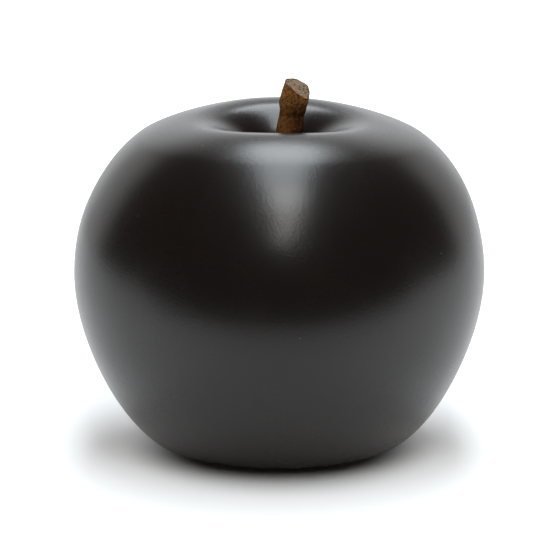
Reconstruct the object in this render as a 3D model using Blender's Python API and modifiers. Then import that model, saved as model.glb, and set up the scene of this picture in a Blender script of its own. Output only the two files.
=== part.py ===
# A hollow ceramic apple with a twig for its stem, standing on four felt pads.
# Metres, +Z up. The origin is on the ground, under the middle of the apple.

import math

import bmesh
import bpy
from mathutils import Matrix, Vector

# Clearances between pieces that touch.
SEAT_GAP = 0.0003
FIT_GAP = 0.0003

# Apple body. Heights in this group are above the flat of its base.
BELLY_RADIUS = 0.0600
BELLY_HEIGHT = 0.0505
CREST_RADIUS = 0.0266
CREST_HEIGHT = 0.0960
SHOULDER_INSET = 0.0174
SHOULDER_DROP = 0.0054
SHOULDER_SLOPE = 36.0
HEEL_INSET = 0.0220
HEEL_HEIGHT = 0.0020
HEEL_SLOPE = 36.0
FOOT_RADIUS = 0.0312
DIMPLE_DEPTH = 0.0243
DIMPLE_SLOPE = 49.0
DIMPLE_WALL_INSET = 0.0128
DIMPLE_WALL_DROP = 0.0062
WALL = 0.0045

# Hollow under the base and its vent hole.
HOLLOW_RADIUS = 0.0190
HOLLOW_HEIGHT = 0.0030
VENT_RADIUS = 0.0060

# Felt pads under the flat of the base.
PAD_COUNT = 4
PAD_RADIUS = 0.0045
PAD_THICKNESS = 0.0010

# Cork bush that holds the twig in the bottom of the dimple.
CORK_WALL = 0.0019
CORK_LENGTH = 0.0140
CORK_TAPER = 0.0004
CORK_SINK = 0.0008

# Twig. Heights along it are measured from where it leaves the cork.
PEG_RADIUS = 0.0030
PEG_LENGTH = 0.0110
SHOULDER_RISE = 0.0008
ROOT_RADIUS = 0.0038
WAIST_RADIUS = 0.0036
WAIST_HEIGHT = 0.0240
KNOT_RADIUS = 0.0042
KNOT_HEIGHT = 0.0295
TWIG_LENGTH = 0.0336
TWIG_LEAN = 10.5
TWIG_BEND = 0.0060
CUT_NORMAL = (0.45, -0.26, 0.86)

# Smoothness of the turned and swept shapes.
TURN_STEPS = 48
SWEEP_POINTS = 12
MERGE_DISTANCE = 0.00001
SMOOTH_ANGLE = math.radians(35.0)

# Places that follow from the sizes above.
BASE_HEIGHT = PAD_THICKNESS + SEAT_GAP
DIMPLE_HEIGHT = BASE_HEIGHT + CREST_HEIGHT - DIMPLE_DEPTH
CORK_TOP = DIMPLE_HEIGHT - CORK_SINK
TWIG_START = CORK_TOP + SEAT_GAP
CORK_BORE_RADIUS = PEG_RADIUS + FIT_GAP
CORK_RADIUS = CORK_BORE_RADIUS + CORK_WALL
SOCKET_RADIUS = CORK_RADIUS + FIT_GAP


def clear_scene():
    for item in list(bpy.data.objects):
        bpy.data.objects.remove(item, do_unlink=True)


def make_collection(name):
    collection = bpy.data.collections.new(name)
    bpy.context.scene.collection.children.link(collection)
    return collection


def make_material(name, colour, roughness, metallic=0.0):
    material = bpy.data.materials.new(name)
    material.use_nodes = True
    shader = material.node_tree.nodes["Principled BSDF"]
    shader.inputs["Base Color"].default_value = (*colour, 1.0)
    shader.inputs["Roughness"].default_value = roughness
    shader.inputs["Metallic"].default_value = metallic
    return material


def add_object(name, data, collection, material):
    item = bpy.data.objects.new(name, data)
    collection.objects.link(item)
    data.materials.append(material)
    return item


def bow(start, start_angle, end, end_angle, start_reach, end_reach, count):
    """Points after start on a Bezier run between two stations of an outline.

    Angles are the way the outline travels, in degrees; reaches are shares of the chord.
    """
    a = Vector(start)
    d = Vector(end)
    chord = (d - a).length
    turn_a = math.radians(start_angle)
    turn_d = math.radians(end_angle)
    b = a + start_reach * chord * Vector((math.cos(turn_a), math.sin(turn_a)))
    c = d - end_reach * chord * Vector((math.cos(turn_d), math.sin(turn_d)))
    points = []
    for step in range(1, count + 1):
        t = step / count
        s = 1.0 - t
        point = s**3 * a + 3 * s * s * t * b + 3 * s * t * t * c + t**3 * d
        points.append((point.x, point.y))
    return points


def body_outline():
    """Outer side of the body, from the socket in the dimple over the crest to the vent."""
    socket = (SOCKET_RADIUS, CREST_HEIGHT - DIMPLE_DEPTH)
    dimple_wall = (CREST_RADIUS - DIMPLE_WALL_INSET, CREST_HEIGHT - DIMPLE_WALL_DROP)
    crest = (CREST_RADIUS, CREST_HEIGHT)
    shoulder = (BELLY_RADIUS - SHOULDER_INSET, CREST_HEIGHT - SHOULDER_DROP)
    belly = (BELLY_RADIUS, BELLY_HEIGHT)
    heel = (BELLY_RADIUS - HEEL_INSET, HEEL_HEIGHT)
    foot = (FOOT_RADIUS, 0.0)
    hollow = (HOLLOW_RADIUS, 0.0)
    vent = (VENT_RADIUS, HOLLOW_HEIGHT)
    outline = [socket]
    outline += bow(socket, 0, dimple_wall, DIMPLE_SLOPE, 0.22, 0.30, 6)
    outline += bow(dimple_wall, DIMPLE_SLOPE, crest, 0, 0.36, 0.42, 5)
    outline += bow(crest, 0, shoulder, -SHOULDER_SLOPE, 0.25, 0.25, 5)
    outline += bow(shoulder, -SHOULDER_SLOPE, belly, -90, 0.26, 0.41, 6)
    outline += bow(belly, -90, heel, HEEL_SLOPE - 180, 0.33, 0.25, 7)
    outline += bow(heel, HEEL_SLOPE - 180, foot, -180, 0.36, 0.36, 3)
    outline += [hollow]
    outline += bow(hollow, -180, vent, -180, 0.40, 0.40, 4)
    return [(radius, height + BASE_HEIGHT) for radius, height in outline]


def turned_mesh(name, outline):
    mesh = bpy.data.meshes.new(name)
    points = [(radius, 0.0, height) for radius, height in outline]
    edges = [(index, index + 1) for index in range(len(points) - 1)]
    mesh.from_pydata(points, edges, [])
    return mesh


def add_screw(item):
    screw = item.modifiers.new("turn", "SCREW")
    screw.axis = "Z"
    screw.angle = 2.0 * math.pi
    screw.steps = TURN_STEPS
    screw.render_steps = TURN_STEPS
    screw.use_merge_vertices = True
    screw.merge_threshold = MERGE_DISTANCE
    screw.use_smooth_shade = True
    return screw


def make_body(collection):
    glaze = make_material("satin_black_glaze", (0.016, 0.011, 0.009), 0.34)
    body = add_object("apple_body", turned_mesh("apple_body", body_outline()), collection, glaze)
    add_screw(body)
    shell = body.modifiers.new("wall", "SOLIDIFY")
    shell.thickness = WALL
    shell.offset = -1.0
    shell.use_even_offset = True
    shell.use_rim = True
    return body


def make_cork(collection):
    cork = make_material("natural_cork", (0.40, 0.25, 0.14), 0.85)
    bore_end = CORK_TOP - PEG_LENGTH - FIT_GAP
    outline = [
        (0.0, bore_end),
        (CORK_BORE_RADIUS, bore_end),
        (CORK_BORE_RADIUS, CORK_TOP),
        (CORK_RADIUS, CORK_TOP),
        (CORK_RADIUS - CORK_TAPER, CORK_TOP - CORK_LENGTH),
        (0.0, CORK_TOP - CORK_LENGTH),
    ]
    bush = add_object("stem_cork", turned_mesh("stem_cork", outline), collection, cork)
    add_screw(bush)
    return bush


def twig_offset(height):
    """Sideways drift of the twig: upright at its root, leaning fully above the bend."""
    slope = math.tan(math.radians(TWIG_LEAN))
    return slope * (height - TWIG_BEND * (1.0 - math.exp(-height / TWIG_BEND)))


def twig_radius(height):
    stations = [
        (0.0, ROOT_RADIUS),
        (WAIST_HEIGHT, WAIST_RADIUS),
        (KNOT_HEIGHT, KNOT_RADIUS),
    ]
    if height >= KNOT_HEIGHT:
        return KNOT_RADIUS
    for (low, low_radius), (high, high_radius) in zip(stations, stations[1:]):
        if height <= high:
            share = (height - low) / (high - low)
            ease = share * share * (3.0 - 2.0 * share)
            return low_radius + (high_radius - low_radius) * ease
    return KNOT_RADIUS


def twig_stations():
    """Points and radii of the sweep, with its origin where the twig leaves the cork."""
    stations = [((0.0, 0.0, -PEG_LENGTH), PEG_RADIUS), ((0.0, 0.0, 0.0), PEG_RADIUS)]
    reach = TWIG_LENGTH + 2.0 * KNOT_RADIUS - SHOULDER_RISE
    for step in range(SWEEP_POINTS + 1):
        height = SHOULDER_RISE + reach * step / SWEEP_POINTS
        stations.append(((twig_offset(height), 0.0, height), twig_radius(height)))
    return stations


def sweep_to_mesh(name, stations, collection, material):
    """A tube with a radius at each point, as one welded closed mesh."""
    curve = bpy.data.curves.new(name + "_path", "CURVE")
    curve.dimensions = "3D"
    curve.bevel_mode = "ROUND"
    curve.bevel_depth = 1.0
    curve.bevel_resolution = 4
    curve.use_fill_caps = True
    spline = curve.splines.new("POLY")
    spline.points.add(len(stations) - 1)
    for point, (place, radius) in zip(spline.points, stations):
        point.co = (*place, 1.0)
        point.radius = radius
    guide = bpy.data.objects.new(name + "_path", curve)
    collection.objects.link(guide)
    bpy.context.view_layer.update()
    graph = bpy.context.evaluated_depsgraph_get()
    mesh = bpy.data.meshes.new_from_object(guide.evaluated_get(graph))
    mesh.name = name
    work = bmesh.new()
    work.from_mesh(mesh)
    bmesh.ops.remove_doubles(work, verts=work.verts, dist=MERGE_DISTANCE)
    bmesh.ops.recalc_face_normals(work, faces=work.faces)
    work.to_mesh(mesh)
    work.free()
    item = add_object(name, mesh, collection, material)
    item.matrix_world = guide.matrix_world
    bpy.data.objects.remove(guide, do_unlink=True)
    return item


def make_cutter(name, size, collection):
    mesh = bpy.data.meshes.new(name)
    work = bmesh.new()
    bmesh.ops.create_cube(work, size=size)
    bmesh.ops.translate(work, vec=(0.0, 0.0, size / 2.0), verts=work.verts)
    work.to_mesh(mesh)
    work.free()
    cutter = bpy.data.objects.new(name, mesh)
    collection.objects.link(cutter)
    cutter.hide_render = True
    cutter.display_type = "WIRE"
    return cutter


def make_twig(collection, cutters):
    bark = make_material("brown_bark", (0.090, 0.042, 0.020), 0.80)
    twig = sweep_to_mesh("stem_twig", twig_stations(), collection, bark)
    twig.location = (0.0, 0.0, TWIG_START)
    cutter = make_cutter("twig_end_cut", 8.0 * KNOT_RADIUS, cutters)
    middle = Vector((twig_offset(TWIG_LENGTH), 0.0, TWIG_LENGTH + TWIG_START))
    turn = Vector((0.0, 0.0, 1.0)).rotation_difference(Vector(CUT_NORMAL))
    cutter.matrix_world = Matrix.Translation(middle) @ turn.to_matrix().to_4x4()
    cut = twig.modifiers.new("slanted_end", "BOOLEAN")
    cut.operation = "DIFFERENCE"
    cut.solver = "EXACT"
    cut.object = cutter
    twig.data.shade_smooth()
    twig.data.set_sharp_from_angle(angle=SMOOTH_ANGLE)
    return twig


def make_pads(collection):
    felt = make_material("grey_felt", (0.030, 0.028, 0.026), 0.95)
    mesh = bpy.data.meshes.new("felt_pad")
    work = bmesh.new()
    bmesh.ops.create_cone(
        work,
        cap_ends=True,
        segments=32,
        radius1=PAD_RADIUS,
        radius2=PAD_RADIUS,
        depth=PAD_THICKNESS,
    )
    work.to_mesh(mesh)
    work.free()
    mesh.materials.append(felt)
    mesh.shade_smooth()
    mesh.set_sharp_from_angle(angle=SMOOTH_ANGLE)
    pad_circle = (HOLLOW_RADIUS + FOOT_RADIUS) / 2.0
    for index in range(PAD_COUNT):
        turn = 2.0 * math.pi * (index + 0.5) / PAD_COUNT
        pad = bpy.data.objects.new(f"felt_pad_{index + 1}", mesh)
        collection.objects.link(pad)
        pad.location = (
            pad_circle * math.cos(turn),
            pad_circle * math.sin(turn),
            PAD_THICKNESS / 2.0,
        )


def main():
    clear_scene()
    parts = make_collection("apple_ornament")
    cutters = make_collection("cutters")
    make_body(parts)
    make_cork(parts)
    make_twig(parts, cutters)
    make_pads(parts)


main()
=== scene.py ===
import math

import bmesh
import bpy
from mathutils import Matrix, Vector, noise


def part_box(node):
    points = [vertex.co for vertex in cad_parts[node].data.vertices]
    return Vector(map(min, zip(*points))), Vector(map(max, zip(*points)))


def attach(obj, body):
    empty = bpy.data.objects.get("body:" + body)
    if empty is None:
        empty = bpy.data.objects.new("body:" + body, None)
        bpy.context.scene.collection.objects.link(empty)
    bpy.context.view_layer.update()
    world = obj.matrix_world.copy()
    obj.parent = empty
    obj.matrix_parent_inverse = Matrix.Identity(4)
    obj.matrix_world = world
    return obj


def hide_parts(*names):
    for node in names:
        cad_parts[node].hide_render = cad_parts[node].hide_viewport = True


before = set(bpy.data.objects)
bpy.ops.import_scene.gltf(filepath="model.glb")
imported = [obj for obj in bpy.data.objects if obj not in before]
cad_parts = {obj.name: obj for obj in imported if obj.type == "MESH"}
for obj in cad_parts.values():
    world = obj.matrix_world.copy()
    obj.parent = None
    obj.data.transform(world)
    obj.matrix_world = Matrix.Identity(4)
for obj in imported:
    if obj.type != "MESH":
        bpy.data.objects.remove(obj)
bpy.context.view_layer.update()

mm = 0.001
bpy.context.scene.view_settings.view_transform = "Standard"


# shared node helpers

def newMaterial(name, roughness):
    material = bpy.data.materials.new(name)
    material.use_nodes = True
    tree = material.node_tree
    shader = tree.nodes["Principled BSDF"]
    shader.inputs["Roughness"].default_value = roughness
    return material, tree, shader


def addNode(tree, kind, **settings):
    node = tree.nodes.new(kind)
    for key, value in settings.items():
        setattr(node, key, value)
    return node


def setInput(tree, node, name, value):
    # a value is either another node's output or a plain number, vector or colour
    if isinstance(value, bpy.types.NodeSocket):
        tree.links.new(value, node.inputs[name])
    else:
        node.inputs[name].default_value = value


def mathNode(tree, operation, first, second=0.0, third=0.0, clamp=False):
    node = addNode(tree, "ShaderNodeMath", operation=operation, use_clamp=clamp)
    setInput(tree, node, 0, first)
    setInput(tree, node, 1, second)
    setInput(tree, node, 2, third)
    return node.outputs[0]


def rangeNode(tree, value, fromLow, fromHigh, toLow=0.0, toHigh=1.0):
    node = addNode(tree, "ShaderNodeMapRange", interpolation_type="SMOOTHSTEP")
    for name, item in zip(("Value", "From Min", "From Max", "To Min", "To Max"),
                          (value, fromLow, fromHigh, toLow, toHigh)):
        setInput(tree, node, name, item)
    return node.outputs[0]


def mixColour(tree, mask, first, second, blend="MIX"):
    node = addNode(tree, "ShaderNodeMix", data_type="RGBA", blend_type=blend)
    setInput(tree, node, "Factor", mask)
    for index, colour in ((6, first), (7, second)):
        if isinstance(colour, tuple):
            colour = (*colour, 1.0)
        setInput(tree, node, index, colour)
    return node.outputs[2]


def objectPlace(tree, scale=(1.0, 1.0, 1.0), turn=(0.0, 0.0, 0.0)):
    # object coordinates in millimetres, so that every texture size below reads in millimetres
    place = addNode(tree, "ShaderNodeTexCoord").outputs["Object"]
    mapping = addNode(tree, "ShaderNodeMapping")
    setInput(tree, mapping, "Vector", place)
    mapping.inputs["Scale"].default_value = [value / mm for value in scale]
    mapping.inputs["Rotation"].default_value = turn
    return mapping.outputs["Vector"]


def newGroup(name, inputs, outputs):
    group = bpy.data.node_groups.new(name, "ShaderNodeTree")
    for socketName, kind, value in inputs:
        socket = group.interface.new_socket(socketName, in_out="INPUT", socket_type=kind)
        if value is not None:
            socket.default_value = value
    for socketName, kind in outputs:
        group.interface.new_socket(socketName, in_out="OUTPUT", socket_type=kind)
    start = group.nodes.new("NodeGroupInput")
    end = group.nodes.new("NodeGroupOutput")
    return group, start.outputs, end.inputs


def useGroup(tree, group, output, **inputs):
    node = addNode(tree, "ShaderNodeGroup", node_tree=group)
    for name, value in inputs.items():
        setInput(tree, node, name, value)
    return node.outputs[output]


def makeMottle():
    # soft cloudy patches of a given size, 0 to 1
    group, given, out = newGroup("mottle", [
        ("Place", "NodeSocketVector", None), ("Size", "NodeSocketFloat", 4.0),
        ("Detail", "NodeSocketFloat", 4.0), ("Contrast", "NodeSocketFloat", 1.0)],
        [("Value", "NodeSocketFloat")])
    cloud = addNode(group, "ShaderNodeTexNoise")
    setInput(group, cloud, "Vector", given["Place"])
    setInput(group, cloud, "Scale", mathNode(group, "DIVIDE", 1.0, given["Size"]))
    setInput(group, cloud, "Detail", given["Detail"])
    centred = mathNode(group, "SUBTRACT", cloud.outputs["Fac"], 0.5)
    spread = mathNode(group, "MULTIPLY_ADD", centred, given["Contrast"], 0.5, clamp=True)
    group.links.new(spread, out["Value"])
    return group


def makeSpecks():
    # scattered round dots: spacing and dot radius in millimetres, share is how many cells hold one
    group, given, out = newGroup("specks", [
        ("Place", "NodeSocketVector", None), ("Spacing", "NodeSocketFloat", 2.0),
        ("Radius", "NodeSocketFloat", 0.2), ("Share", "NodeSocketFloat", 0.5)],
        [("Mask", "NodeSocketFloat")])
    cells = addNode(group, "ShaderNodeTexVoronoi")
    setInput(group, cells, "Vector", given["Place"])
    setInput(group, cells, "Scale", mathNode(group, "DIVIDE", 1.0, given["Spacing"]))
    reach = mathNode(group, "MULTIPLY", cells.outputs["Distance"], given["Spacing"])
    pick = addNode(group, "ShaderNodeSeparateColor")
    setInput(group, pick, "Color", cells.outputs["Color"])
    size = mathNode(group, "MULTIPLY", pick.outputs["Green"], given["Radius"])
    inner = mathNode(group, "MULTIPLY", size, 0.4)
    dot = rangeNode(group, reach, inner, size, 1.0, 0.0)
    chosen = mathNode(group, "LESS_THAN", pick.outputs["Red"], given["Share"])
    group.links.new(mathNode(group, "MULTIPLY", dot, chosen), out["Mask"])
    return group


mottle = makeMottle()
specks = makeSpecks()


def addBump(tree, shader, heightInMm, strength=1.0):
    bump = addNode(tree, "ShaderNodeBump")
    bump.inputs["Strength"].default_value = strength
    bump.inputs["Distance"].default_value = mm
    setInput(tree, bump, "Height", heightInMm)
    tree.links.new(bump.outputs["Normal"], shader.inputs["Normal"])


def finishPiece(mesh, name, material, body, nodes, smooth=True):
    piece = bpy.data.objects.new(name, mesh)
    bpy.context.scene.collection.objects.link(piece)
    if material is not None:
        mesh.materials.append(material)
    if smooth:
        mesh.shade_smooth()
    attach(piece, body)
    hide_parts(*nodes)
    return piece


# the apple: one hollow slip-cast shell, glazed outside, bare clay under the foot

bodyShape = {
    "crestRadius": 25.5 * mm, "shoulderInset": 17.4 * mm, "shoulderDrop": 5.4 * mm, "shoulderSlope": 36.0,
    "bellyHeight": 50.5 * mm, "heelInset": 22.0 * mm, "heelHeight": 2.0 * mm, "heelSlope": 36.0,
    "footRadius": 31.2 * mm, "hollowRadius": 19.0 * mm, "hollowHeight": 3.0 * mm,
    "ventRadius": 6.0 * mm, "socketRadius": 5.5 * mm, "dimpleDepth": 24.3 * mm,
    "dimpleSlope": 48.0, "dimpleInset": 12.6 * mm, "dimpleDrop": 5.5 * mm,
    "wall": 4.5 * mm, "spinSteps": 288,
    "wobble": 0.18 * mm, "wobbleSize": 45.0 * mm, "ripple": 0.03 * mm, "rippleSize": 9.0 * mm,
    "crestSaddle": 0.85 * mm, "crestTilt": 0.46 * mm, "tiltTowards": 118.0, "crestShift": 0.60 * mm,
}


def bow(start, startAngle, end, endAngle, startReach, endReach, count):
    # Bezier run between two stations of an outline; angles are the way it travels
    a, d = Vector(start), Vector(end)
    chord = (d - a).length
    leaving, arriving = math.radians(startAngle), math.radians(endAngle)
    b = a + startReach * chord * Vector((math.cos(leaving), math.sin(leaving)))
    c = d - endReach * chord * Vector((math.cos(arriving), math.sin(arriving)))
    run = []
    for step in range(1, count + 1):
        t = step / count
        run.append((1 - t) ** 3 * a + 3 * (1 - t) ** 2 * t * b + 3 * (1 - t) * t * t * c + t ** 3 * d)
    return run


def bodyOutline(fineness):
    shape = bodyShape
    low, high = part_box("apple_body")
    base, crestHeight, belly = low.z, high.z, (high.x - low.x) / 2
    socket = (shape["socketRadius"], crestHeight - shape["dimpleDepth"])
    dimple = (shape["crestRadius"] - shape["dimpleInset"], crestHeight - shape["dimpleDrop"])
    crest = (shape["crestRadius"], crestHeight)
    shoulder = (belly - shape["shoulderInset"], crestHeight - shape["shoulderDrop"])
    widest = (belly, base + shape["bellyHeight"])
    heel = (belly - shape["heelInset"], base + shape["heelHeight"])
    foot = (shape["footRadius"], base)
    hollow = (shape["hollowRadius"], base)
    vent = (shape["ventRadius"], base + shape["hollowHeight"])
    line = [Vector(socket)]
    line += bow(socket, 0, dimple, shape["dimpleSlope"], 0.22, 0.30, 5 * fineness)
    line += bow(dimple, shape["dimpleSlope"], crest, 0, 0.28, 0.46, 5 * fineness)
    line += bow(crest, 0, shoulder, -shape["shoulderSlope"], 0.19, 0.25, 5 * fineness)
    line += bow(shoulder, -shape["shoulderSlope"], widest, -90, 0.26, 0.41, 6 * fineness)
    line += bow(widest, -90, heel, shape["heelSlope"] - 180, 0.33, 0.25, 7 * fineness)
    line += bow(heel, shape["heelSlope"] - 180, foot, -180, 0.36, 0.36, 3 * fineness)
    line += bow(foot, -180, hollow, -180, 0.33, 0.33, 2 * fineness)
    line += bow(hollow, -180, vent, -180, 0.40, 0.40, 3 * fineness)
    return line


def innerOutline(outer, wall):
    # the same line moved in by the wall, walked back from the vent to the socket
    line = []
    for index, point in enumerate(outer):
        before, after = outer[max(index - 1, 0)], outer[min(index + 1, len(outer) - 1)]
        along = (after - before).normalized()
        line.append(point - wall * Vector((-along.y, along.x)))
    return line[::-1]


def smoothStep(value, low, high):
    t = min(1.0, max(0.0, (value - low) / (high - low)))
    return t * t * (3 - 2 * t)


def handWarp(place, low, high):
    # the slight unevenness of a cast and hand-finished piece, none at the foot or the socket
    shape = bodyShape
    height = (place.z - low.z) / (high.z - low.z)
    radius = math.hypot(place.x, place.y)
    hold = smoothStep(height, 0.0, 0.25) * smoothStep(radius, 6 * mm, 20 * mm)
    outward = Vector((place.x, place.y, 0.0)) / max(radius, mm)
    swell = noise.noise(place / shape["wobbleSize"]) * shape["wobble"]
    swell += noise.noise(place / shape["rippleSize"] + Vector((7.0, 3.0, 5.0))) * shape["ripple"]
    towards = math.radians(shape["tiltTowards"])
    side = (place.x * math.cos(towards) + place.y * math.sin(towards)) / shape["crestRadius"]
    # the rim dips a little on two sides and rises at the front and the back
    saddle = shape["crestSaddle"] * (outward.y ** 2 - outward.x ** 2) * smoothStep(height, 0.62, 0.97)
    lift = shape["crestTilt"] * side * max(0.0, height - 0.5) * 2.0 + saddle
    lean = Vector((shape["crestShift"] * smoothStep(height, 0.66, 0.88), 0.0, 0.0))
    return place + hold * (outward * (swell - shape["wobble"] * 0.2) + Vector((0.0, 0.0, lift)) + lean)


def makeBody():
    outer = bodyOutline(5)
    inner = innerOutline(bodyOutline(1), bodyShape["wall"])
    bm = bmesh.new()
    ring = [bm.verts.new((point.x, 0.0, point.y)) for point in outer + inner]
    edges = [bm.edges.new(pair) for pair in zip(ring, ring[1:] + ring[:1])]
    bmesh.ops.spin(bm, geom=ring + edges, cent=(0, 0, 0), axis=(0, 0, 1), angle=2 * math.pi,
                   steps=bodyShape["spinSteps"], use_merge=True)
    bmesh.ops.remove_doubles(bm, verts=bm.verts, dist=0.002 * mm)
    bmesh.ops.recalc_face_normals(bm, faces=bm.faces)
    low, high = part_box("apple_body")
    for vert in bm.verts:
        vert.co = handWarp(vert.co, low, high)
    mesh = bpy.data.meshes.new("appleBody")
    bm.to_mesh(mesh)
    bm.free()
    return mesh


glazeLook = {
    "black": (0.0090, 0.0066, 0.0057), "warm": (0.0118, 0.0078, 0.0064),
    "clay": (0.33, 0.235, 0.165), "clayDark": (0.20, 0.135, 0.09), "dust": (0.20, 0.19, 0.18),
    "roughness": 0.27, "pitRoughness": 0.6,
    # sizes and heights in millimetres; the glaze ends at glazeEdge from the axis, below bareBelow
    "peelSize": 0.75, "peelHeight": 0.024, "ridgeHeight": 0.0015, "pitHeight": -0.02, "dustHeight": 0.006,
    "gritHeight": 0.12, "glazeEdge": 32.3, "glazeRagged": 0.9, "bareBelow": 12.0,
}


def makeGlaze():
    look = glazeLook
    material, tree, shader = newMaterial("satinBlackGlaze", look["roughness"])
    place = objectPlace(tree)
    spots = addNode(tree, "ShaderNodeSeparateXYZ")
    setInput(tree, spots, "Vector", place)
    reach = mathNode(tree, "SQRT", mathNode(
        tree, "ADD", mathNode(tree, "MULTIPLY", spots.outputs["X"], spots.outputs["X"]),
        mathNode(tree, "MULTIPLY", spots.outputs["Y"], spots.outputs["Y"])))
    cloud = useGroup(tree, mottle, "Value", Place=place, Size=14.0, Detail=3.0, Contrast=1.6)
    ragged = useGroup(tree, mottle, "Value", Place=place, Size=2.5, Detail=3.0, Contrast=1.2)
    edge = mathNode(tree, "MULTIPLY_ADD", ragged, look["glazeRagged"],
                    look["glazeEdge"] - look["glazeRagged"] / 2)
    inside = mathNode(tree, "LESS_THAN", reach, edge)
    under = mathNode(tree, "LESS_THAN", spots.outputs["Z"], look["bareBelow"])
    bare = mathNode(tree, "MULTIPLY", inside, under)
    dust = useGroup(tree, specks, "Mask", Place=place, Spacing=4.5, Radius=0.30, Share=0.32)
    pits = useGroup(tree, specks, "Mask", Place=place, Spacing=5.0, Radius=0.34, Share=0.38)
    black = mixColour(tree, cloud, look["black"], look["warm"])
    black = mixColour(tree, mathNode(tree, "MULTIPLY", dust, 0.7), black, look["dust"])
    clay = mixColour(tree, useGroup(tree, mottle, "Value", Place=place, Size=1.2, Detail=6.0, Contrast=2.0),
                     look["clayDark"], look["clay"])
    tree.links.new(mixColour(tree, bare, black, clay), shader.inputs["Base Color"])
    satin = mathNode(tree, "MULTIPLY_ADD", cloud, 0.04, look["roughness"] - 0.02)
    satin = mathNode(tree, "MULTIPLY_ADD", pits, look["pitRoughness"], satin)
    satin = mathNode(tree, "MAXIMUM", satin, mathNode(tree, "MULTIPLY", bare, 0.9))
    tree.links.new(satin, shader.inputs["Roughness"])
    peel = useGroup(tree, mottle, "Value", Place=place, Size=look["peelSize"], Detail=1.5, Contrast=1.0)
    turned = objectPlace(tree, scale=(0.05, 0.05, 1.0))
    ridges = useGroup(tree, mottle, "Value", Place=turned, Size=1.6, Detail=2.0, Contrast=1.0)
    height = mathNode(tree, "MULTIPLY", peel, look["peelHeight"])
    height = mathNode(tree, "MULTIPLY_ADD", ridges, look["ridgeHeight"], height)
    height = mathNode(tree, "MULTIPLY_ADD", pits, look["pitHeight"], height)
    height = mathNode(tree, "MULTIPLY_ADD", dust, look["dustHeight"], height)
    grit = useGroup(tree, mottle, "Value", Place=place, Size=0.5, Detail=4.0, Contrast=1.0)
    gritty = mathNode(tree, "MULTIPLY", bare, grit)
    height = mathNode(tree, "MULTIPLY_ADD", gritty, look["gritHeight"], height)
    addBump(tree, shader, height)
    return material


finishPiece(makeBody(), "appleBody", makeGlaze(), "apple", ["apple_body"])
print("apple body made")


# the twig: bark, a swollen end, a slanted cut, and a whittled peg in the cork

twigShape = {
    # height above where it leaves the cork, sideways drift, radius, all in millimetres
    "stations": [(0.9, 0.0, 3.75), (5.0, 0.15, 3.7), (10.0, 0.75, 3.6), (15.0, 1.55, 3.55),
                 (19.3, 2.35, 3.52), (21.8, 2.95, 3.82), (24.3, 3.35, 3.72), (26.2, 3.65, 3.66),
                 (27.8, 3.9, 3.86), (29.6, 4.2, 4.25), (31.4, 4.5, 4.28), (33.4, 5.0, 4.12),
                 (36.5, 5.95, 3.85), (40.0, 6.9, 3.8)],
    "pegRadius": 3.0, "pegLength": 11.0, "ringStep": 0.22, "segments": 120,
    "cutPoint": (5.2, -0.1, 33.9), "cutNormal": (0.43, -0.27, 0.86), "cutRings": 22,
    "tears": [(-1.9, -2.9, 1.9, 1.0), (3.2, -2.2, 1.6, -0.7), (0.2, 0.2, 1.8, -0.35),
              (2.6, 2.6, 1.7, 0.9), (-0.1, 3.4, 1.7, 0.55), (-2.9, 0.6, 1.8, 0.55)],
    "ridgeHeight": 0.16, "knobHeight": 0.18, "grainHeight": 0.07,
    # a crease, the swelling over it and a scar under it, on the front right: height, width, relief
    "crease": (25.6, 1.1, 0.22), "bulge": (27.3, 0.9, 0.22), "scar": (22.4, 1.4, 0.15), "creaseFacing": -50.0,
}


def smoothBetween(stations, height, column):
    # a smooth curve through the stations, read at one height
    if height <= stations[0][0]:
        return stations[0][column]
    for index in range(len(stations) - 1):
        low, high = stations[index], stations[index + 1]
        if height <= high[0]:
            before = stations[max(index - 1, 0)]
            after = stations[min(index + 2, len(stations) - 1)]
            span = high[0] - low[0]
            t = (height - low[0]) / span
            slopeLow = (high[column] - before[column]) / (high[0] - before[0]) * span
            slopeHigh = (after[column] - low[column]) / (after[0] - low[0]) * span
            return ((2 * t ** 3 - 3 * t * t + 1) * low[column] + (t ** 3 - 2 * t * t + t) * slopeLow
                    + (3 * t * t - 2 * t ** 3) * high[column] + (t ** 3 - t * t) * slopeHigh)
    return stations[-1][column]


def barkRelief(angle, height, radius):
    # raised and sunken bark in millimetres
    shape = twigShape
    ring = Vector((math.cos(angle), math.sin(angle), 0.0))
    long = noise.noise(Vector((ring.x * 2.6, ring.y * 2.6, height * 0.11)))
    knobs = noise.noise(Vector((ring.x * 2.2, ring.y * 2.2, height * 0.42)) + Vector((3.1, 0.0, 0.0)))
    fine = noise.noise(Vector((ring.x * radius * 1.9, ring.y * radius * 1.9, height * 1.3)))
    finer = noise.noise(Vector((ring.x * radius * 4.5, ring.y * radius * 4.5, height * 3.4)))
    relief = shape["ridgeHeight"] * long + shape["knobHeight"] * knobs
    relief += shape["grainHeight"] * (fine + 0.6 * finer)
    facing = max(0.0, math.cos(angle - math.radians(shape["creaseFacing"]))) ** 2
    level, width, depth = shape["crease"]
    relief -= depth * facing * math.exp(-((height - level + 0.7 * math.sin(angle - 0.6)) / width) ** 2)
    level, width, rise = shape["bulge"]
    relief += rise * facing * math.exp(-((height - level) / width) ** 2)
    level, width, rise = shape["scar"]
    right = max(0.0, math.cos(angle + 0.2)) ** 2
    return relief + rise * right * math.exp(-((height - level) / width) ** 2)


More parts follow.
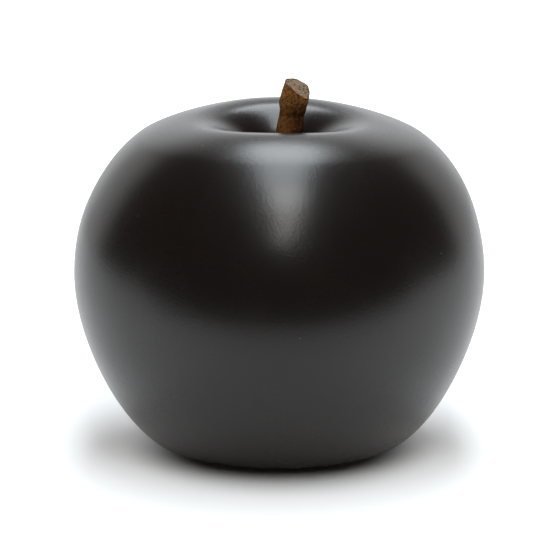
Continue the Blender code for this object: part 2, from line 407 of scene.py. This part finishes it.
def makeTwigMesh():
    shape = twigShape
    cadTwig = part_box("stem_twig")
    foot = cadTwig[0].z / mm
    root = foot + shape["pegLength"]
    bm = bmesh.new()
    flat = bm.verts.layers.float.new("cutFace")
    first = bmesh.ops.create_circle(bm, cap_ends=False, segments=shape["segments"], radius=shape["pegRadius"])
    ring = first["verts"]
    bmesh.ops.translate(bm, vec=(0, 0, foot), verts=ring)
    edges = list(bm.edges)
    heights = [-shape["pegLength"] + 0.25, -shape["pegLength"] + 1.0, -6.0, -2.0, -0.2, 0.05]
    sizes = [shape["pegRadius"]] * 6
    top = shape["stations"][-1][0]
    count = int((top - 0.7) / shape["ringStep"])
    for step in range(count + 1):
        heights.append(0.7 + (top - 0.7) * step / count)
        sizes.append(smoothBetween(shape["stations"], heights[-1], 2))
    centre, size = Vector((0, 0, foot)), shape["pegRadius"]
    for height, wanted in zip(heights, sizes):
        made = bmesh.ops.extrude_edge_only(bm, edges=edges)["geom"]
        ring = [item for item in made if isinstance(item, bmesh.types.BMVert)]
        edges = [item for item in made if isinstance(item, bmesh.types.BMEdge)]
        drift = smoothBetween(shape["stations"], height, 1) if height > 0 else 0.0
        target = Vector((drift, 0.0, root + height))
        grow = wanted / size
        bmesh.ops.scale(bm, vec=(grow, grow, 1.0), verts=ring, space=Matrix.Translation(-centre))
        bmesh.ops.translate(bm, vec=target - centre, verts=ring)
        for vert in ring:
            if height > 0.6:
                out = vert.co - target
                angle = math.atan2(out.y, out.x)
                vert.co = target + out.normalized() * (wanted + barkRelief(angle, height, wanted))
        centre, size = target, wanted
    bmesh.ops.bisect_plane(bm, geom=list(bm.verts) + list(bm.edges) + list(bm.faces), dist=0.0001,
                           plane_co=Vector(shape["cutPoint"]) + Vector((0, 0, root)),
                           plane_no=Vector(shape["cutNormal"]), clear_outer=True)
    loops = [edge for edge in bm.edges if edge.is_boundary]
    lower = [edge for edge in loops if edge.verts[0].co.z < root]
    upper = [edge for edge in loops if edge.verts[0].co.z >= root]
    bmesh.ops.contextual_create(bm, geom=lower)
    closeCut(bm, upper, flat)
    shapeCut(bm, root)
    for vert in bm.verts:
        if vert.co.z < root + 0.1:  # the whittled peg is bare wood
            vert[flat] = 1.0
    bmesh.ops.triangulate(bm, faces=[face for face in bm.faces if len(face.verts) > 4])
    bmesh.ops.recalc_face_normals(bm, faces=bm.faces)
    bmesh.ops.scale(bm, vec=(mm, mm, mm), verts=bm.verts)
    mesh = bpy.data.meshes.new("stemTwig")
    bm.to_mesh(mesh)
    bm.free()
    return mesh


def closeCut(bm, edges, flat):
    # rings drawn in from the sawn edge to its middle, with a bark rim and rough end grain
    shape = twigShape
    normal = Vector(shape["cutNormal"]).normalized()
    rim = set(vert for edge in edges for vert in edge.verts)
    middle = sum((vert.co for vert in rim), Vector()) / len(rim)
    for vert in rim:
        vert[flat] = 0.4
    scaleSoFar = 1.0
    for step in range(1, shape["cutRings"] + 1):
        wanted = 1.0 - 0.05 * step if step < 4 else 0.85 * (1.0 - (step - 3) / (shape["cutRings"] - 2))
        made = bmesh.ops.extrude_edge_only(bm, edges=edges)["geom"]
        ring = [item for item in made if isinstance(item, bmesh.types.BMVert)]
        edges = [item for item in made if isinstance(item, bmesh.types.BMEdge)]
        grow = wanted / scaleSoFar
        bmesh.ops.scale(bm, vec=(grow, grow, grow), verts=ring, space=Matrix.Translation(-middle))
        scaleSoFar = wanted
        for vert in ring:
            vert[flat] = 1.0 if step > 1 else 0.4
    bmesh.ops.contextual_create(bm, geom=edges)
    for vert in bm.verts:
        if vert[flat] > 0.5:
            rough = noise.noise(vert.co * 2.2) * 0.12 + noise.noise(vert.co * 6.0) * 0.06
            vert.co += normal * (rough - 0.10)


def shapeCut(bm, root):
    # raise or lower the edge of the cut round each tear: x, y, spread and rise in millimetres
    shape = twigShape
    middle = Vector(shape["cutPoint"]) + Vector((0, 0, root))
    normal = Vector(shape["cutNormal"]).normalized()
    for x, y, spread, rise in shape["tears"]:
        for vert in bm.verts:
            below = (middle - vert.co).dot(normal)
            if below < 4.0:
                away = math.hypot(vert.co.x - middle.x - x, vert.co.y - middle.y - y) / spread
                vert.co.z += rise * math.exp(-away * away) * (1.0 - smoothStep(below, 0.3, 4.0))


barkLook = {
    "dark": (0.085, 0.023, 0.004), "brown": (0.290, 0.098, 0.016), "gold": (0.64, 0.310, 0.085),
    "plum": (0.060, 0.018, 0.009), "ash": (0.56, 0.38, 0.22),
    "wood": (0.190, 0.122, 0.072), "woodDark": (0.040, 0.022, 0.012), "woodLight": (0.33, 0.24, 0.165),
    "roughness": 0.78, "specular": 0.12,
    # patch sizes and bump heights in millimetres
    "patchSize": 1.7, "streakSize": 0.62, "grainSize": 0.34, "shadeSize": 3.0,
    "streakHeight": 0.08, "grainHeight": 0.06, "poreHeight": -0.10, "woodHeight": 0.08,
}


def makeBark():
    look = barkLook
    material, tree, shader = newMaterial("twigBark", look["roughness"])
    shader.inputs["Specular IOR Level"].default_value = look["specular"]
    place = objectPlace(tree)
    drawn = objectPlace(tree, scale=(1.0, 1.0, 0.62))
    patches = useGroup(tree, mottle, "Value", Place=drawn, Size=look["patchSize"], Detail=4.0, Contrast=3.0)
    streaks = useGroup(tree, mottle, "Value", Place=drawn, Size=look["streakSize"], Detail=5.0, Contrast=3.4)
    grain = useGroup(tree, mottle, "Value", Place=place, Size=look["grainSize"], Detail=3.0, Contrast=3.2)
    flecks = useGroup(tree, specks, "Mask", Place=place, Spacing=0.50, Radius=0.40, Share=0.50)
    colour = mixColour(tree, patches, look["dark"], look["brown"])
    colour = mixColour(tree, mathNode(tree, "MULTIPLY", streaks, 0.75), colour, look["gold"])
    # plum brown gathers low on the right, where the bark is bruised, and the foot is dark
    spots = addNode(tree, "ShaderNodeSeparateXYZ")
    setInput(tree, spots, "Vector", place)
    right = rangeNode(tree, spots.outputs["X"], 0.8, 4.4)
    low = rangeNode(tree, spots.outputs["Z"], 98.8, 103.0, 1.0, 0.15)
    shade = useGroup(tree, mottle, "Value", Place=drawn, Size=look["shadeSize"], Detail=3.0, Contrast=3.0)
    bruise = mathNode(tree, "MULTIPLY", mathNode(tree, "MULTIPLY", right, low), mathNode(
        tree, "MULTIPLY_ADD", shade, 0.7, 0.55), clamp=True)
    colour = mixColour(tree, bruise, colour, look["plum"])
    colour = mixColour(tree, rangeNode(tree, spots.outputs["Z"], 95.0, 103.0, 0.5, 0.0), colour, look["dark"])
    colour = mixColour(tree, mathNode(tree, "MULTIPLY", flecks, 0.24), colour, look["ash"])
    colour = mixColour(tree, mathNode(tree, "MULTIPLY", grain, 0.40), colour, look["dark"])
    # the bark darkens where the saw went through it
    cut = addNode(tree, "ShaderNodeAttribute", attribute_name="cutFace").outputs["Fac"]
    colour = mixColour(tree, rangeNode(tree, cut, 0.0, 0.4, 0.0, 0.75), colour, look["dark"])
    cut = rangeNode(tree, cut, 0.45, 0.9)
    pores = useGroup(tree, specks, "Mask", Place=place, Spacing=0.62, Radius=0.60, Share=0.75)
    cloud = useGroup(tree, mottle, "Value", Place=place, Size=0.8, Detail=5.0, Contrast=3.0)
    wood = mixColour(tree, cloud, look["wood"], look["woodLight"])
    wood = mixColour(tree, mathNode(tree, "MULTIPLY", pores, 0.75), wood, look["woodDark"])
    tree.links.new(mixColour(tree, cut, colour, wood), shader.inputs["Base Color"])
    rough = mathNode(tree, "MULTIPLY_ADD", grain, 0.2, look["roughness"] - 0.1)
    tree.links.new(rough, shader.inputs["Roughness"])
    barkHeight = mathNode(tree, "MULTIPLY", streaks, look["streakHeight"])
    barkHeight = mathNode(tree, "MULTIPLY_ADD", grain, look["grainHeight"], barkHeight)
    woodHeight = mathNode(tree, "MULTIPLY", pores, look["poreHeight"])
    woodHeight = mathNode(tree, "MULTIPLY_ADD", cloud, look["woodHeight"], woodHeight)
    height = addNode(tree, "ShaderNodeMix", data_type="FLOAT")
    setInput(tree, height, "Factor", cut)
    setInput(tree, height, 2, barkHeight)
    setInput(tree, height, 3, woodHeight)
    addBump(tree, shader, height.outputs[0])
    return material


finishPiece(makeTwigMesh(), "stemTwig", makeBark(), "stem", ["stem_twig"])
print("twig made")


# the cork bush round the peg

corkShape = {
    "boreRadius": 3.3, "boreDepth": 11.3, "taper": 0.4, "edge": 0.35,
    "segments": 96, "rows": 9, "pitDepth": 0.12,
}


def makeCorkMesh():
    shape = corkShape
    low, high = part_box("stem_cork")
    bottom, top, radius = low.z / mm, high.z / mm, (high.x - low.x) / 2 / mm
    edge, bore = shape["edge"], shape["boreRadius"]
    floor = top - shape["boreDepth"]
    narrow = radius - shape["taper"]
    corners = [(0.0, floor), (bore, floor), (bore, top - edge), (bore + edge, top),
               (radius - edge, top), (radius, top - edge),
               (narrow, bottom + edge), (narrow - edge, bottom), (0.0, bottom)]
    bm = bmesh.new()
    line = [bm.verts.new((x, 0.0, z)) for x, z in corners]
    edges = [bm.edges.new(pair) for pair in zip(line, line[1:])]
    bmesh.ops.subdivide_edges(bm, edges=edges, cuts=shape["rows"])
    bmesh.ops.spin(bm, geom=list(bm.verts) + list(bm.edges), cent=(0, 0, 0), axis=(0, 0, 1),
                   angle=2 * math.pi, steps=shape["segments"], use_merge=True)
    bmesh.ops.remove_doubles(bm, verts=bm.verts, dist=0.001)
    bmesh.ops.recalc_face_normals(bm, faces=bm.faces)
    bm.normal_update()
    for vert in bm.verts:
        pit = max(0.0, noise.noise(vert.co * 1.4) - 0.1) * 1.6 + 0.3 * noise.noise(vert.co * 4.0)
        vert.co -= vert.normal * shape["pitDepth"] * max(0.0, pit)
    bmesh.ops.scale(bm, vec=(mm, mm, mm), verts=bm.verts)
    mesh = bpy.data.meshes.new("stemCork")
    bm.to_mesh(mesh)
    bm.free()
    return mesh


corkLook = {
    "pale": (0.50, 0.33, 0.19), "tan": (0.36, 0.21, 0.11), "pore": (0.11, 0.06, 0.035),
    "roughness": 0.85,
}


def makeCork():
    look = corkLook
    material, tree, shader = newMaterial("naturalCork", look["roughness"])
    place = objectPlace(tree)
    grains = useGroup(tree, mottle, "Value", Place=place, Size=1.3, Detail=4.0, Contrast=3.0)
    pores = useGroup(tree, specks, "Mask", Place=place, Spacing=1.1, Radius=0.5, Share=0.5)
    colour = mixColour(tree, grains, look["tan"], look["pale"])
    colour = mixColour(tree, pores, colour, look["pore"])
    tree.links.new(colour, shader.inputs["Base Color"])
    rough = mathNode(tree, "MULTIPLY_ADD", grains, 0.12, look["roughness"] - 0.06)
    tree.links.new(rough, shader.inputs["Roughness"])
    height = mathNode(tree, "MULTIPLY_ADD", pores, -0.2, mathNode(tree, "MULTIPLY", grains, 0.08))
    addBump(tree, shader, height)
    return material


finishPiece(makeCorkMesh(), "stemCork", makeCork(), "apple", ["stem_cork"])
print("cork made")


# felt dots under the foot

feltShape = {"segments": 72, "rows": 7, "edge": 0.16, "nap": 0.05}


def makeFeltMesh(node):
    shape = feltShape
    low, high = [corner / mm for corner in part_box(node)]
    radius, thickness = (high.x - low.x) / 2, high.z - low.z
    edge = shape["edge"]
    bm = bmesh.new()
    corners = [(0.0, thickness), (radius - edge, thickness), (radius, thickness - edge),
               (radius, edge), (radius - edge, 0.0), (0.0, 0.0)]
    line = [bm.verts.new((x, 0.0, z)) for x, z in corners]
    edges = [bm.edges.new(pair) for pair in zip(line, line[1:])]
    bmesh.ops.subdivide_edges(bm, edges=edges, cuts=shape["rows"])
    bmesh.ops.spin(bm, geom=list(bm.verts) + list(bm.edges), cent=(0, 0, 0), axis=(0, 0, 1),
                   angle=2 * math.pi, steps=shape["segments"], use_merge=True)
    bmesh.ops.remove_doubles(bm, verts=bm.verts, dist=0.001)
    bmesh.ops.recalc_face_normals(bm, faces=bm.faces)
    middle = (low + high) / 2
    bmesh.ops.translate(bm, vec=(middle.x, middle.y, low.z), verts=bm.verts)
    bm.normal_update()
    for vert in bm.verts:
        fuzz = noise.noise(vert.co * 3.0) + 0.5 * noise.noise(vert.co * 7.0)
        vert.co -= vert.normal * shape["nap"] * max(0.0, fuzz)
    bmesh.ops.scale(bm, vec=(mm, mm, mm), verts=bm.verts)
    mesh = bpy.data.meshes.new(node)
    bm.to_mesh(mesh)
    bm.free()
    return mesh


feltLook = {
    "dark": (0.016, 0.015, 0.014), "light": (0.075, 0.070, 0.066), "lint": (0.3, 0.29, 0.28),
    "roughness": 0.95, "sheen": 0.3, "fibreSize": 0.18, "acrossSize": 0.20, "napHeight": 0.12,
}


def makeFelt():
    look = feltLook
    material, tree, shader = newMaterial("greyFelt", look["roughness"])
    shader.inputs["Sheen Weight"].default_value = look["sheen"]
    place = objectPlace(tree)
    alongPlace = objectPlace(tree, scale=(1.0, 0.25, 1.0), turn=(0, 0, 0.6))
    acrossPlace = objectPlace(tree, scale=(0.25, 1.0, 1.0), turn=(0, 0, 0.9))
    fibres = useGroup(tree, mottle, "Value", Place=alongPlace, Size=look["fibreSize"],
                      Detail=4.0, Contrast=3.0)
    across = useGroup(tree, mottle, "Value", Place=acrossPlace, Size=look["acrossSize"],
                      Detail=4.0, Contrast=3.0)
    woven = mathNode(tree, "MAXIMUM", fibres, across)
    lint = useGroup(tree, specks, "Mask", Place=place, Spacing=0.9, Radius=0.16, Share=0.3)
    colour = mixColour(tree, woven, look["dark"], look["light"])
    colour = mixColour(tree, mathNode(tree, "MULTIPLY", lint, 0.5), colour, look["lint"])
    tree.links.new(colour, shader.inputs["Base Color"])
    addBump(tree, shader, mathNode(tree, "MULTIPLY", woven, look["napHeight"]))
    return material


felt = makeFelt()
for number in range(1, 5):
    node = f"felt_pad_{number}"
    finishPiece(makeFeltMesh(node), f"feltPad{number}", felt, "apple", [node])
print("felt pads made")


# stage: pale floor with painted light and painted shade, three overhead strip softboxes, pale backdrop
# behind, dim room in front

studio = {
    "floorWide": 3.0, "floorFront": 0.60, "floorBack": 2.0, "floorColour": 0.92, "floorGap": 0.05 * mm,
    # painted light: the floor gives off light of its own, in two rises with the distance from the piece in
    # millimetres, and none close round it, which paints the edge of its shadow
    "paintedLightNear": 0.29, "nearRise": (36.0, 60.0), "paintedLightFar": 0.50, "farRise": (75.0, 200.0),
    # painted shade: where and how far the floor is painted dark towards the front, for every ray but the
    # camera's, so that its reflection dies away there
    "fade": (-285.0, -60.0), "fadeTop": 0.90, "floorPaintedShade": (0.03, 0.03, 0.03),
    "backdropSide": (0.86, 0.86, 0.86), "backdropMiddle": (1.22, 1.25, 1.27),
    "room": (0.042, 0.036, 0.033),
}


def makeFloor():
    bm = bmesh.new()
    bmesh.ops.create_grid(bm, x_segments=1, y_segments=1, size=0.5)
    deep = studio["floorBack"] + studio["floorFront"]
    bmesh.ops.scale(bm, vec=(studio["floorWide"], deep, 1.0), verts=bm.verts)
    middle = deep / 2 - studio["floorFront"]
    bmesh.ops.translate(bm, vec=(0.0, middle, -studio["floorGap"]), verts=bm.verts)
    mesh = bpy.data.meshes.new("floor")
    bm.to_mesh(mesh)
    bm.free()
    floor = bpy.data.objects.new("floor", mesh)
    bpy.context.scene.collection.objects.link(floor)
    material, tree, shader = newMaterial("paleFloor", 0.9)
    level = studio["floorColour"]
    shader.inputs["Specular IOR Level"].default_value = 0.0
    # painted light: the floor gives off light itself, though it is no lamp; none where the piece stands,
    # rising with the distance from it, sooner to the sides, which paints the edge of its shadow
    reach = addNode(tree, "ShaderNodeVectorMath", operation="LENGTH")
    setInput(tree, reach, 0, objectPlace(tree, scale=(1.25, 1.0, 1.0)))
    away = reach.outputs["Value"]
    near = rangeNode(tree, away, *studio["nearRise"], 0.0, studio["paintedLightNear"])
    far = rangeNode(tree, away, *studio["farRise"], 0.0, studio["paintedLightFar"] - studio["paintedLightNear"])
    paintedFloorLight = mathNode(tree, "ADD", near, far)
    # painted shade: towards the front, where the studio is dark, the floor is painted dark for every ray but
    # the camera's, so its reflection in the piece dies away; the floor's painted light fades with it
    spots = addNode(tree, "ShaderNodeSeparateXYZ")
    setInput(tree, spots, "Vector", objectPlace(tree))
    lit = rangeNode(tree, spots.outputs["Y"], *studio["fade"], 0.0, studio["fadeTop"])
    lit = mathNode(tree, "MAXIMUM", lit, addNode(tree, "ShaderNodeLightPath").outputs["Is Camera Ray"])
    paint = mixColour(tree, lit, studio["floorPaintedShade"], (level, level, level))
    tree.links.new(paint, shader.inputs["Base Color"])
    paintedFloorLight = mathNode(tree, "MULTIPLY", paintedFloorLight, lit)
    # painted light: the floor's own emission
    tree.links.new(mixColour(tree, paintedFloorLight, (0.0, 0.0, 0.0), (1.0, 1.0, 1.0)), shader.inputs["Emission Color"])
    shader.inputs["Emission Strength"].default_value = 1.0
    mesh.materials.append(material)


softboxes = {
    # width, length, middle x and y, height, radiance, colour
    "stripSoftbox": (0.39, 1.47, 0.030, 0.285, 1.09, 6.7, (0.93, 1.0, 1.045)),
    "stripMiddle": (0.36, 0.45, 0.062, -0.675, 1.09, 8.6, (0.98, 1.0, 1.0)),
    "stripTip": (0.29, 0.95, 0.085, -1.375, 1.09, 6.0, (1.0, 1.0, 0.98)),
}


def makeSoftbox(name, width, length, x, y, height, radiance, colour):
    lamp = bpy.data.lights.new(name, "AREA")
    lamp.shape = "RECTANGLE"
    lamp.size, lamp.size_y = width, length
    lamp.color = colour
    lamp.energy = radiance * math.pi * width * length
    softbox = bpy.data.objects.new(name, lamp)
    softbox.location = (x, y, height)
    softbox.visible_camera = False
    bpy.context.scene.collection.objects.link(softbox)


def makeSurroundings():
    world = bpy.data.worlds.new("studioRoom")
    bpy.context.scene.world = world
    world.use_nodes = True
    tree = world.node_tree
    background = tree.nodes["Background"]
    ways = addNode(tree, "ShaderNodeSeparateXYZ")
    setInput(tree, ways, "Vector", addNode(tree, "ShaderNodeTexCoord").outputs["Generated"])
    behind = rangeNode(tree, ways.outputs["Y"], 0.40, 0.62)
    lowDown = rangeNode(tree, ways.outputs["Z"], 0.42, 0.70, 1.0, 0.0)
    paper = mathNode(tree, "MULTIPLY", behind, lowDown)
    white = mixColour(tree, rangeNode(tree, ways.outputs["Y"], 0.80, 0.97),
                      studio["backdropSide"], studio["backdropMiddle"])
    around = mixColour(tree, paper, studio["room"], white)
    seen = addNode(tree, "ShaderNodeLightPath").outputs["Is Camera Ray"]
    tree.links.new(mixColour(tree, seen, around, (1.0, 1.0, 1.0)), background.inputs["Color"])


cameraLook = {
    # degrees above the floor, metres to the aim, lens in millimetres, metres
    "elevation": 13.5, "distance": 1.2, "lens": 263.5714, "aim": (0.0002, 0.0, 0.0492),
}


def makeCamera():
    look = cameraLook
    data = bpy.data.cameras.new("camera")
    data.sensor_width = 36.0
    data.lens = look["lens"]
    data.clip_start = 0.05
    camera = bpy.data.objects.new("camera", data)
    tilt = math.radians(look["elevation"])
    aim = Vector(look["aim"])
    camera.location = aim + look["distance"] * Vector((0.0, -math.cos(tilt), math.sin(tilt)))
    camera.rotation_euler = (math.pi / 2 - tilt, 0.0, 0.0)
    bpy.context.scene.collection.objects.link(camera)
    bpy.context.scene.camera = camera


makeFloor()
for name, size in softboxes.items():
    makeSoftbox(name, *size)
makeSurroundings()
makeCamera()
print("stage, light and camera set")
